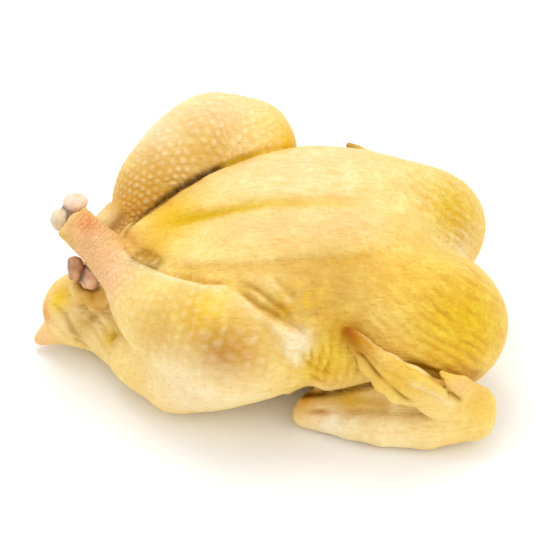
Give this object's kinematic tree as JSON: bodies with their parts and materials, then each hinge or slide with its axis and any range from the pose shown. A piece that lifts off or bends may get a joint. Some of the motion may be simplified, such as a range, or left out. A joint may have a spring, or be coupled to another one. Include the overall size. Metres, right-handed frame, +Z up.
{
  "type": "whole raw chicken",
  "caption": "Whole raw chicken on its back, plucked and trimmed, legs crossed over the tail, wings folded, bone ends showing at the hocks.",
  "frame": {"origin": "middle of the footprint, on the surface the bird lies on", "axes": "+X from the tail to the neck end, +Y towards the side that lies higher, +Z up out of the breast"},
  "size_m": [0.2448, 0.1815, 0.1142],
  "materials": {
    "skin": "moist pale yellow skin with raised follicles",
    "bone": "wet cartilage, white to pinkish grey"
  },
  "bodies": {
    "root": {"carcass": "skin", "near_shin_bone": "bone", "far_shin_bone": "bone"}
  },
  "joints": []
}
